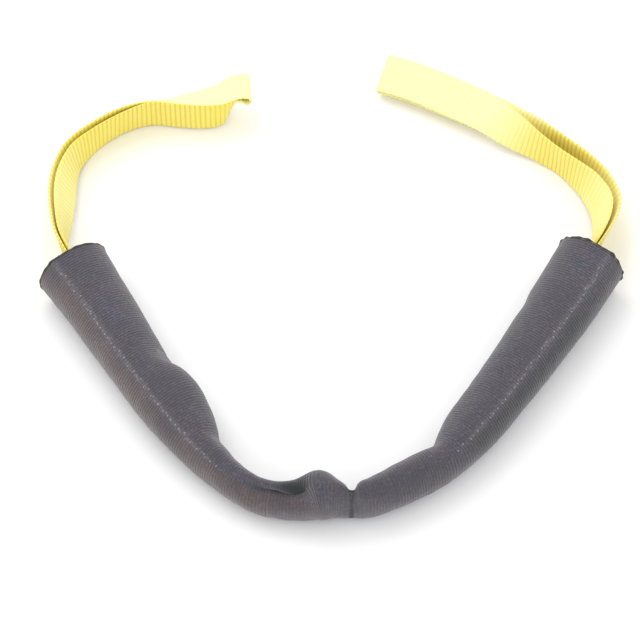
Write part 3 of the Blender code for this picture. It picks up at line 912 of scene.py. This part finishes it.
class HANDLE_OT_sleeve(bpy.types.Operator):
    """Add the ribbed tubular sleeve in three stretches, each over one hinge"""

    bl_idname = "handle.sleeve"
    bl_label = "Sleeve"

    def execute(self, context):
        skin = sleeve_skin(context)
        route = skin.route
        left_cut = int(np.searchsorted(skin.along, route.station(MIDDLE_LEFT - 0.55)))
        right_cut = int(np.searchsorted(skin.along, route.station(MIDDLE_RIGHT)))
        left = sleeve_stretch(context, "sleeve_left", 0, left_cut)
        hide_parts("sleeve_arm_left")
        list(hinge_zone(route, route.station(LEFT_KINK), KINK_REACH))
        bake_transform(left)
        middle = sleeve_stretch(context, "sleeve_middle", left_cut, right_cut)
        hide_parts("sleeve_bend_left", "sleeve_bend_right")
        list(hinge_zone(route, route.station(FOLD), FOLD_REACH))
        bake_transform(middle)
        right = sleeve_stretch(context, "sleeve_right", right_cut, len(skin.along) - 1)
        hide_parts("sleeve_arm_right")
        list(hinge_zone(route, route.station(RIGHT_KINK), KINK_REACH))
        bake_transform(right)
        return {"FINISHED"}


# ---- Fused rims ----
def rim_bead(skin, row, sense, radius, wall, rough):
    """A melted bead round a mouth: a small round profile that wanders a little."""
    columns = len(skin.turn)
    middle = skin.middle(row)
    rings = []
    for i in range(RIM_PROFILE):
        angle = 2 * math.pi * i / RIM_PROFILE
        ring = []
        for j in range(columns):
            edge = Vector(skin.points[row, j])
            ahead = Vector(skin.points[row, j] - skin.points[row + sense, j]).normalized()
            inward = (middle - edge).normalized()
            turn = skin.turn[j]
            waves = math.sin(turn * 11 + 1) * math.sin(turn * 5) + 0.5 * math.sin(turn * 23)
            core = edge + inward * wall / 2 + ahead * rough * RIM_WANDER * math.sin(turn * 7 + 2)
            thick = radius * (1 + rough * waves)
            spot = core + ahead * thick * 0.9 * math.cos(angle) - inward * thick * math.sin(angle)
            ring.append(tuple(spot))
        rings.append(ring)
    return np.array(rings)


class HANDLE_OT_rims(bpy.types.Operator):
    """Add the dark fused bead round each mouth of the sleeve"""

    bl_idname = "handle.rims"
    bl_label = "Fused rims"

    def execute(self, context):
        skin = sleeve_skin(context)
        sizes = context.scene.handle_sizes
        finish = finish_of("rim", rim_finish, context.scene.handle_finish)
        last = len(skin.along) - 1
        for side, row, sense, rough in (("left", 0, 1, 0.22), ("right", last, -1, 0.42)):
            points = rim_bead(skin, row, sense, sizes.rim_radius, sizes.sleeve_wall, rough)
            piece = grid_piece(f"fused_rim_{side}", points, close_round=True)
            close_torus(piece, len(skin.turn))
            finished(piece, finish)
            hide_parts(f"sleeve_rim_{side}")
            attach(piece, f"{side}_arm")
        return {"FINISHED"}


def close_torus(piece, columns):
    """Joins the last ring of a grid to its first, so that the bead is one closed skin."""
    work = bmesh.new()
    work.from_mesh(piece.data)
    work.verts.ensure_lookup_table()
    total = len(work.verts)
    for j in range(columns):
        k = (j + 1) % columns
        ring = (total - columns + j, total - columns + k, k, j)
        work.faces.new([work.verts[n] for n in ring]).smooth = True
    bmesh.ops.recalc_face_normals(work, faces=work.faces)
    work.to_mesh(piece.data)
    work.free()


# ---- Stitches ----
def model_stitch(length, radius):
    """One stitch as modelled by hand: a small ball drawn out along X and flattened below."""
    bpy.ops.object.select_all(action="DESELECT")
    bpy.ops.mesh.primitive_uv_sphere_add(segments=8, ring_count=6, radius=radius)
    stitch = bpy.context.active_object
    bpy.ops.object.mode_set(mode="EDIT")
    bpy.ops.mesh.select_all(action="SELECT")
    bpy.ops.transform.rotate(value=math.pi / 2, orient_axis="Y", center_override=(0, 0, 0))
    bpy.ops.transform.resize(value=(length / 2 / radius, 1.0, 0.75), center_override=(0, 0, 0))
    bpy.ops.object.mode_set(mode="OBJECT")
    bpy.ops.object.shade_smooth()
    return stitch


def sew(name, stitch, places):
    """A piece with a copy of the stitch at each place, given as a point and two directions."""
    work = bmesh.new()
    for spot, along, out in places:
        side = out.cross(along).normalized()
        turned = Matrix((along, side, out)).transposed().to_4x4()
        copy = bmesh.new()
        copy.from_mesh(stitch.data)
        bmesh.ops.transform(copy, matrix=Matrix.Translation(spot) @ turned, verts=copy.verts)
        made = bpy.data.meshes.new("stitch_copy")
        copy.to_mesh(made)
        copy.free()
        work.from_mesh(made)
        bpy.data.meshes.remove(made)
    piece = mesh_piece(name, work)
    piece.data.shade_smooth()
    return piece


class HANDLE_OT_crease_stitches(bpy.types.Operator):
    """Add the small pale stitches that show along each arm's crease"""

    bl_idname = "handle.crease_stitches"
    bl_label = "Crease stitches"

    def execute(self, context):
        skin = sleeve_skin(context)
        route = skin.route
        colours = context.scene.handle_finish
        finish = finish_of("thread", thread_finish, "pale_thread", tuple(colours.thread))
        stitch = model_stitch(*CREASE_STITCH)
        kinks = {"left": route.station(LEFT_KINK), "right": route.station(RIGHT_KINK)}
        arms = {
            "left": (0.010, kinks["left"] + 0.012),
            "right": (kinks["right"] + 0.004, route.length - 0.014),
        }
        for side, (start, end) in arms.items():
            places = []
            s = start
            count = 0
            while s < end:
                count += 1
                jitter = math.sin(count * 12.9898) * 0.5 + math.sin(count * 4.1) * 0.5
                spot, out, ahead, round_way = skin.spot(s, CREASE_TURN + jitter * math.radians(2.2))
                along = (round_way * 0.9 + ahead * jitter * 0.8).normalized()
                along = (along - out * along.dot(out)).normalized()
                places.append((spot + out * 0.00006, along, out))
                s += 0.0034 + 0.0019 * abs(math.sin(count * 2.7)) * (1 + jitter)
            piece = finished(sew(f"crease_stitches_{side}", stitch, places), finish)
            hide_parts(f"sleeve_seam_{side}")
            bodies = ("left_arm", "left_bend") if side == "left" else ("right_bend", "right_arm")
            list(hinge_zone(route, kinks[side], KINK_REACH))
            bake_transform(piece)
        discard(stitch)
        return {"FINISHED"}


class HANDLE_OT_bar_tacks(bpy.types.Operator):
    """Add the bar tack on each flank of the sleeve beside the fold"""

    bl_idname = "handle.bar_tacks"
    bl_label = "Bar tacks"

    def execute(self, context):
        skin = sleeve_skin(context)
        route = skin.route
        fold = route.station(FOLD)
        finish = finish_of("dark_thread", thread_finish, "dark_thread", DARK_THREAD)
        stitch = model_stitch(*TACK_STITCH)
        for label, middle in (("front", 0.0), ("back", math.pi)):
            places = []
            for i in range(TACK_COUNT):
                turn = middle + TACK_SPREAD * (i / (TACK_COUNT - 1) - 0.5)
                spot, out, ahead, _ = skin.spot(fold - 0.0012 + 0.0004 * (i % 2), turn)
                along = (ahead - out * ahead.dot(out)).normalized()
                places.append((spot, along, out))
            piece = finished(sew(f"bar_tack_{label}", stitch, places), finish)
            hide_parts(f"centre_tack_{label}")
            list(hinge_zone(route, fold, FOLD_REACH))
            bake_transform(piece)
        discard(stitch)
        return {"FINISHED"}


# ---- Webbing ----
class Ribbon:
    """Webbing as stations, each with its lower edge, its upper edge and its face's normal."""

    def __init__(self):
        self.lower = []
        self.upper = []
        self.normal = []

    def add(self, lower, upper, normal):
        self.lower.append(tuple(lower))
        self.upper.append(tuple(upper))
        self.normal.append(tuple(normal))

    def resampled(self, step):
        """Arrays of the stations at even steps along the middle, softened where runs meet."""
        lower, upper, normal = (np.array(a, float) for a in (self.lower, self.upper, self.normal))
        middle = (lower + upper) / 2
        lengths = np.concatenate([[0], np.cumsum(np.linalg.norm(np.diff(middle, axis=0), axis=-1))])
        count = int(lengths[-1] / step)
        even = np.linspace(0, lengths[-1], count + 1)
        made = []
        for rows in (lower, upper, normal):
            columns = [np.interp(even, lengths, rows[:, axis]) for axis in range(3)]
            made.append(softened(np.stack(columns, axis=-1)))
        made[2] /= np.linalg.norm(made[2], axis=-1, keepdims=True)
        return even, made


def softened(rows, passes=2):
    for _ in range(passes):
        inner = (rows[:-2] + 2 * rows[1:-1] + rows[2:]) / 4
        rows = np.concatenate([rows[:1], inner, rows[-1:]])
    return rows


def ribbon_piece(name, ribbon, sizes):
    """The solid of the webbing: a rounded flat section whose faces rise and fall with the ribs."""
    even, (lower, upper, normal) = ribbon.resampled(sizes.webbing_rib / RIBS_SAMPLED)
    share = np.linspace(0.0, 1.0, WEB_COLUMNS)
    share = 0.5 - 0.5 * np.cos(np.pi * (0.12 + 0.76 * share))
    share = (share - share[0]) / (share[-1] - share[0])
    edge = np.abs(2 * share - 1)
    rounding = 1 - 0.62 * edge**10
    ribbed = 1 - edge**6
    rib = np.cos(2 * np.pi * even / sizes.webbing_rib)[:, None]
    half = sizes.webbing_thickness / 2 * rounding[None, :]
    half = half + sizes.webbing_relief * (rib - 1) * ribbed[None, :] * 0.5
    scallop = SCALLOP * rib[:, :, None] * (np.sign(share - 0.5) * edge**12)[None, :, None]
    across = upper - lower
    unit = across / np.linalg.norm(across, axis=-1, keepdims=True)
    flat = lower[:, None, :] + across[:, None, :] * share[None, :, None]
    flat = flat + unit[:, None, :] * scallop
    face = flat + normal[:, None, :] * half[..., None]
    back = flat - normal[:, None, :] * half[..., None]
    points = np.concatenate([face, back[:, ::-1]], axis=1)
    metres = share * sizes.webbing_width
    around = np.concatenate([metres, metres[::-1], metres[:1]])
    piece = grid_piece(name, points, close_round=True, close_ends=True, uv=(even, around))
    # Painted light: how far each face turns up, so that the finish paints up-facing faces paler.
    upward = np.repeat(normal[:, 2:], WEB_COLUMNS, axis=1)
    faded = np.clip(np.concatenate([upward, -upward], axis=1), 0, 1)
    set_marks(piece, faded=faded)
    return piece, float(even[-1])


class Eye:
    """Two legs of webbing that hang from one line of upper edges and meet in a bight."""

    def __init__(self, rows, mouth, inward, sizes):
        made = []
        for x, y, inner_lean, outer_lean, gap, lift in rows:
            spot = [mouth.x + x * EYE_SPREAD * inward, mouth.y + y * EYE_REACH]
            made.append(spot + [math.radians(inner_lean), math.radians(outer_lean), gap, lift])
        self.curve = Smooth(made)
        self.inward = inward
        self.width = sizes.webbing_width
        self.thickness = sizes.webbing_thickness

    def level(self, s):
        """Unit vector that points level and away from the inside of the handle."""
        x, y = self.curve.forward(s)
        return Vector((-y, x, 0.0)) * self.inward

    def across(self, s, lean):
        """Unit vector across the webbing, from its lower edge to its upper one."""
        return self.level(s) * math.cos(lean) + Vector((0.0, 0.0, math.sin(lean)))

    def upper_line(self, s):
        """The point midway between the legs' upper edges."""
        x, y, inner_lean, outer_lean, gap, lift = self.curve.at(s)
        mean = (inner_lean + outer_lean) / 2
        height = self.width * math.sin(inner_lean) + lift
        height += (self.thickness + gap / 2) * abs(math.cos(mean))
        forward = Vector((*self.curve.forward(s), 0.0))
        return Vector((x, y, height)), forward.cross(self.across(s, mean)), gap

    def station(self, s, inner):
        """Lower edge, upper edge and inner-facing normal of one leg's middle layer."""
        sign = self.inward if inner else -self.inward
        middle, through, gap = self.upper_line(s)
        inner_lean, outer_lean = self.curve.at(s)[2:4]
        gap -= CREASE_CLOSING * min(1.0, abs(outer_lean - inner_lean) / SPLAY)
        across = self.across(s, inner_lean if inner else outer_lean)
        forward = Vector((*self.curve.forward(s), 0.0))
        facing = forward.cross(across) * sign
        upper = middle + through * sign * gap / 2 + facing * self.thickness / 2
        return upper - across * self.width, upper, facing

    def add_leg(self, ribbon, inner, lengths):
        for s in lengths:
            lower, upper, facing = self.station(s, inner)
            ribbon.add(lower, upper, facing)

    def add_bight(self, ribbon):
        """A half turn at the tip, from the outer leg round to the inner one."""
        end = self.curve.length
        middle, through, gap = self.upper_line(end)
        forward = Vector((*self.curve.forward(end), 0.0))
        across = self.across(end, self.curve.at(end)[2])
        radius = gap / 2 + self.thickness / 2
        for i in range(1, BIGHT_SAMPLES):
            turn = math.pi * (i / BIGHT_SAMPLES - 0.5) * self.inward
            out = forward * math.cos(turn) + through * math.sin(turn)
            upper = middle + out * radius
            ribbon.add(upper - across * self.width, upper, out)


def sleeve_strap(ribbon, route, lengths, side_shift, width, flip, crushes=()):
    """Adds the strap where it stands on edge inside the sleeve."""
    for s in lengths:
        lost = 0.0
        for station, reach, share in crushes:
            lost += share * math.exp(-(((s - route.station(station)) / reach) ** 2))
        side = level_ways(route, s)[1]
        middle = route_point(route, s) + side * side_shift
        middle.z -= CRUSH_SINK * lost
        rise = Vector((0.0, 0.0, width / 2 * (1 - lost)))
        ribbon.add(middle - rise, middle + rise, side * flip)


def lengths_between(start, end, step):
    return np.linspace(start, end, max(2, round(abs(end - start) / step)))


class HANDLE_OT_eyes(bpy.types.Operator):
    """Add each half's strap: out of the sleeve, round the eye and back in"""

    bl_idname = "handle.eyes"
    bl_label = "Eyes"

    def execute(self, context):
        sizes = context.scene.handle_sizes
        route = sleeve_route(sizes.webbing_width)
        finish = finish_of("webbing", webbing_finish, context.scene.handle_finish, sizes)
        offset = (sizes.webbing_thickness + STRAP_GAP) / 2
        halves = (
            ("left", LEFT_EYE, LEFT_MOUTH, 1, 0.0, route.station(LEFT_KINK), 1),
            ("right", RIGHT_EYE, RIGHT_MOUTH, -1, route.length, route.station(RIGHT_KINK), -1),
        )
        for side, rows, mouth, inward, edge, kink, sense in halves:
            eye = Eye(rows, mouth, inward, sizes)
            ribbon = Ribbon()
            width = sizes.webbing_width
            entry = edge + sense * MOUTH_ENTRY
            run = lengths_between(kink - sense * KINK_GAP, entry, STRAP_STEP)
            sleeve_strap(ribbon, route, run, offset, width, 1)
            out = lengths_between(MOUTH_ENTRY, eye.curve.length, EYE_STEP)
            eye.add_leg(ribbon, False, out)
            eye.add_bight(ribbon)
            eye.add_leg(ribbon, True, out[::-1])
            run = lengths_between(entry, edge + sense * TAIL_LENGTH, STRAP_STEP)
            sleeve_strap(ribbon, route, run, -offset, width, -1)
            piece, length = ribbon_piece(f"webbing_{side}", ribbon, sizes)
            finished(piece, finish)
            names = ("eye_leg_inner", "eye_leg_outer", "eye_bight", "strap_arm", "strap_tail")
            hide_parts(*(f"{name}_{side}" for name in names))
            outward = Vector((*route.forward(edge), 0.0)) * -sense
            start, end = mouth - outward * MOUTH_REACH, mouth + outward * MOUTH_REACH
            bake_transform(piece)
            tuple(start)
            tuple(end)
        return {"FINISHED"}


class HANDLE_OT_middle_strap(bpy.types.Operator):
    """Add the strap between the two kinks, crushed where the sleeve is slack"""

    bl_idname = "handle.middle_strap"
    bl_label = "Middle strap"

    def execute(self, context):
        sizes = context.scene.handle_sizes
        route = sleeve_route(sizes.webbing_width)
        finish = finish_of("webbing", webbing_finish, context.scene.handle_finish, sizes)
        start, end = route.station(LEFT_KINK) + KINK_GAP, route.station(RIGHT_KINK) - KINK_GAP
        run = lengths_between(start, end, STRAP_STEP)
        ribbon = Ribbon()
        sleeve_strap(ribbon, route, run, 0.0, sizes.webbing_width, 1, CRUSHES)
        piece, length = ribbon_piece("webbing_middle", ribbon, sizes)
        finished(piece, finish)
        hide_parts("strap_bend_left", "strap_bend_right")
        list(hinge_zone(route, route.station(FOLD), FOLD_REACH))
        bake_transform(piece)
        return {"FINISHED"}


# ---- Inside the sleeve ----
def float_points(skin, start, end, wall, bore):
    """A thick tube of foam that fills the sleeve round the strap, its ends rounded over."""
    sense = 1 if end > start else -1
    profile = [(start + inset * sense, swell) for inset, swell in FLOAT_END]
    profile.append(((start + end) / 2, 1.0))
    profile += [(end - inset * sense, swell) for inset, swell in reversed(FLOAT_END)]
    rings = []
    for s, swell in profile:
        rows = skin.route.at(s)
        forward = skin.route.forward(s)
        side = np.array([forward[1], -forward[0]])
        share = (swell - FLOAT_HOLE) / (1 - FLOAT_HOLE)
        radii = [b + (reach - wall - FLOAT_GAP - b) * share for b, reach in zip(bore, rows[2:4])]
        spots = rows[:2] + side * (np.cos(skin.turn) * radii[0])[:, None]
        height = rows[3] + np.sin(skin.turn) * radii[1]
        rings.append(np.concatenate([spots, height[:, None]], axis=1))
    return np.array(rings)


class HANDLE_OT_floats(bpy.types.Operator):
    """Add the foam float that fills each arm round the strap"""

    bl_idname = "handle.floats"
    bl_label = "Foam floats"

    def execute(self, context):
        skin = sleeve_skin(context)
        sizes = context.scene.handle_sizes
        finish = finish_of("foam", foam_finish, context.scene.handle_finish)
        bore = (0.0060, sizes.webbing_width / 2 + 0.0020)
        for side, edge, sense in (("left", 0.0, 1), ("right", skin.route.length, -1)):
            start = edge + sense * FLOAT_INSET
            end = start + sense * FLOAT_LENGTH
            points = float_points(skin, start, end, sizes.sleeve_wall, bore)
            piece = grid_piece(f"foam_{side}", points, close_round=True)
            close_torus(piece, len(skin.turn))
            finished(piece, finish)
            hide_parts(f"foam_float_{side}")
            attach(piece, f"{side}_arm")
        return {"FINISHED"}


class HANDLE_OT_box_stitches(bpy.types.Operator):
    """Add the sewn box with its cross on both faces of each overlap of the strap"""

    bl_idname = "handle.box_stitches"
    bl_label = "Box stitches"

    def execute(self, context):
        sizes = context.scene.handle_sizes
        route = sleeve_route(sizes.webbing_width)
        finish = finish_of("yellow_thread", thread_finish, "yellow_thread", YELLOW_THREAD)
        stitch = model_stitch(BOX_STITCH_LENGTH, sizes.thread / 2)
        face = sizes.webbing_thickness + STRAP_GAP / 2
        half = sizes.webbing_width / 2 - BOX_INSET
        for side, edge, sense in (("left", 0.0, 1), ("right", route.length, -1)):
            first, last = edge + sense * BOX_START, edge + sense * BOX_END
            corners = [(first, -half), (last, -half), (last, half), (first, half)]
            runs = list(zip(corners, corners[1:] + corners[:1]))
            runs += [(corners[0], corners[2]), (corners[1], corners[3])]
            for label, sign in (("inner", -1), ("outer", 1)):
                places = [place for run in runs for place in stitch_run(route, *run, sign, face)]
                piece = finished(sew(f"box_{label}_{side}", stitch, places), finish)
                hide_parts(f"box_stitch_{label}_{side}")
                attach(piece, f"{side}_arm")
        discard(stitch)
        return {"FINISHED"}


def stitch_run(route, start, end, sign, face):
    """Places of the stitches on a straight run between two points on the strap's face."""
    reach = math.hypot(end[0] - start[0], end[1] - start[1])
    count = round(reach / BOX_PITCH)
    for i in range(count):
        share = (i + 0.5) / count
        s = start[0] + (end[0] - start[0]) * share
        forward, side = level_ways(route, s)
        spot = route_point(route, s) + side * sign * face
        spot.z += start[1] + (end[1] - start[1]) * share
        along = forward * (end[0] - start[0]) + Vector((0.0, 0.0, end[1] - start[1]))
        yield spot, along.normalized(), side * sign


# ---- Stage ----
def soft_light(name, at, size, power):
    """A square area light that faces the handle."""
    lamp = bpy.data.lights.new(name, "AREA")
    lamp.energy = power
    lamp.size = size
    holder = placed(name, lamp)
    holder.location = at
    holder.rotation_euler = (-Vector(at)).to_track_quat("-Z", "Y").to_euler()


class HANDLE_OT_studio(bpy.types.Operator):
    """Add the camera, the pale floor and the soft lights"""

    bl_idname = "handle.studio"
    bl_label = "Studio"

    def execute(self, context):
        studio = context.scene.handle_studio
        aim = Vector(studio.aim)
        lens = bpy.data.cameras.new("camera")
        lens.lens = studio.focal_length
        lens.sensor_width = 36.0
        lens.clip_end = 20.0
        camera = placed("camera", lens)
        back = Vector((0.0, -math.cos(studio.elevation), math.sin(studio.elevation)))
        camera.location = aim + back * studio.distance
        camera.rotation_euler = (math.pi / 2 - studio.elevation, 0.0, 0.0)
        context.scene.camera = camera

        bpy.ops.object.select_all(action="DESELECT")
        bpy.ops.mesh.primitive_plane_add(size=8.0, location=(0.0, 0.0, 0.0))
        floor = context.active_object
        floor.name = "studio_floor"
        floor.data.materials.append(finish_of("floor", floor_finish))

        soft_light("key_light", (-0.9, 0.9, 1.9), 1.6, studio.key_power)
        soft_light("fill_light", (-0.4, -1.9, 1.2), 1.2, studio.fill_power)
        world = bpy.data.worlds.new("surround")
        world.use_nodes = True
        background = world.node_tree.nodes["Background"]
        background.inputs["Color"].default_value = (1.0, 1.0, 1.0, 1.0)
        background.inputs["Strength"].default_value = studio.surround
        context.scene.world = world
        context.scene.view_settings.view_transform = "Standard"
        return {"FINISHED"}


# ---- Sidebar and registration ----
OPERATORS = (
    HANDLE_OT_studio,
    HANDLE_OT_sleeve,
    HANDLE_OT_rims,
    HANDLE_OT_crease_stitches,
    HANDLE_OT_bar_tacks,
    HANDLE_OT_eyes,
    HANDLE_OT_middle_strap,
    HANDLE_OT_floats,
    HANDLE_OT_box_stitches,
)


class HANDLE_PT_sidebar(bpy.types.Panel):
    """Lists the handle's pieces and its sizes and colours"""

    bl_label = "Tow Rope Handle"
    bl_idname = "HANDLE_PT_sidebar"
    bl_space_type = "VIEW_3D"
    bl_region_type = "UI"
    bl_category = "Handle"

    def draw(self, context):
        column = self.layout.column(align=True)
        for operator in OPERATORS:
            column.operator(operator.bl_idname)
        scene = context.scene
        for group in (scene.handle_sizes, scene.handle_finish, scene.handle_studio):
            box = self.layout.box()
            for name in group.__annotations__:
                box.prop(group, name)


CLASSES = (HandleSizes, HandleFinish, StudioSettings, *OPERATORS, HANDLE_PT_sidebar)


def register():
    for item in CLASSES:
        bpy.utils.register_class(item)
    bpy.types.Scene.handle_sizes = PointerProperty(type=HandleSizes)
    bpy.types.Scene.handle_finish = PointerProperty(type=HandleFinish)
    bpy.types.Scene.handle_studio = PointerProperty(type=StudioSettings)


def unregister():
    del bpy.types.Scene.handle_studio
    del bpy.types.Scene.handle_finish
    del bpy.types.Scene.handle_sizes
    for item in reversed(CLASSES):
        bpy.utils.unregister_class(item)


def main():
    register()
    for operator in OPERATORS:
        group, name = operator.bl_idname.split(".")
        getattr(getattr(bpy.ops, group), name)()


if __name__ == "__main__":
    main()
